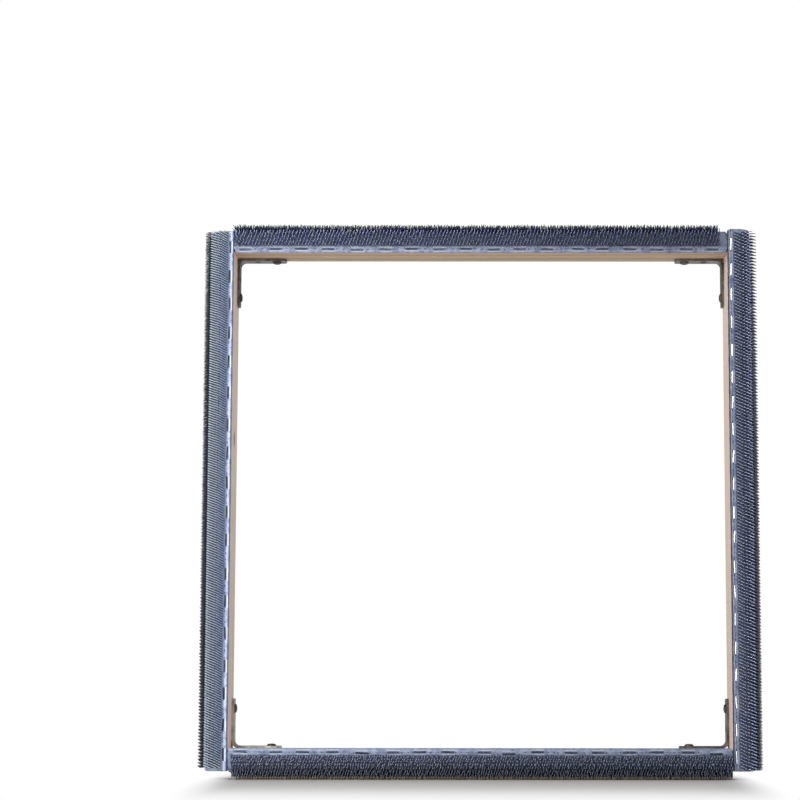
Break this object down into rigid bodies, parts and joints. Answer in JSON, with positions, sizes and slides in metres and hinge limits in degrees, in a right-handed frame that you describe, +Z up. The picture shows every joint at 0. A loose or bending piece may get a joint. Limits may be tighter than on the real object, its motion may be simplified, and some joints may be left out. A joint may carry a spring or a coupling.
{
  "type": "rug hooking frame",
  "caption": "Square wooden frame on edge with wire gripper strips wrapped round its front and outer edges, to hold backing cloth taut for rug hooking.",
  "frame": {"origin": "under the middle of the standing frame, on the surface that its bottom gripper strip rests on", "axes": "+Z up along the stiles, +X along the rails to the right, and -Y towards the front, where the wires and the staples show"},
  "size_m": [0.4722, 0.0456, 0.4717],
  "materials": {
    "pine": "sanded bare softwood, matt",
    "foundation_cloth": "woven blue foundation cloth, matt",
    "gripper_wire": "fine dark steel wire with bright tips",
    "staple_steel": "bright galvanised flat wire",
    "brace_steel": "dull plated steel strip",
    "screw_steel": "dull plated steel",
    "dowel_wood": "fluted hardwood, unfinished"
  },
  "bodies": {
    "root": {"left_stile": "pine", "right_stile": "pine", "top_rail": "pine", "bottom_rail": "pine", "left_foundation": "foundation_cloth", "right_foundation": "foundation_cloth", "top_foundation": "foundation_cloth", "bottom_foundation": "foundation_cloth", "left_wires": "gripper_wire", "right_wires": "gripper_wire", "top_wires": "gripper_wire", "bottom_wires": "gripper_wire", "left_front_staples": "staple_steel", "right_front_staples": "staple_steel", "top_front_staples": "staple_steel", "bottom_front_staples": "staple_steel", "left_rear_staples": "staple_steel", "right_rear_staples": "staple_steel", "top_rear_staples": "staple_steel", "bottom_rear_staples": "staple_steel", "top_left_brace": "brace_steel", "top_right_brace": "brace_steel", "bottom_left_brace": "brace_steel", "bottom_right_brace": "brace_steel", "top_left_screws": "screw_steel", "top_right_screws": "screw_steel", "bottom_left_screws": "screw_steel", "bottom_right_screws": "screw_steel", "top_left_dowels": "dowel_wood", "top_right_dowels": "dowel_wood", "bottom_left_dowels": "dowel_wood", "bottom_right_dowels": "dowel_wood"}
  },
  "joints": []
}
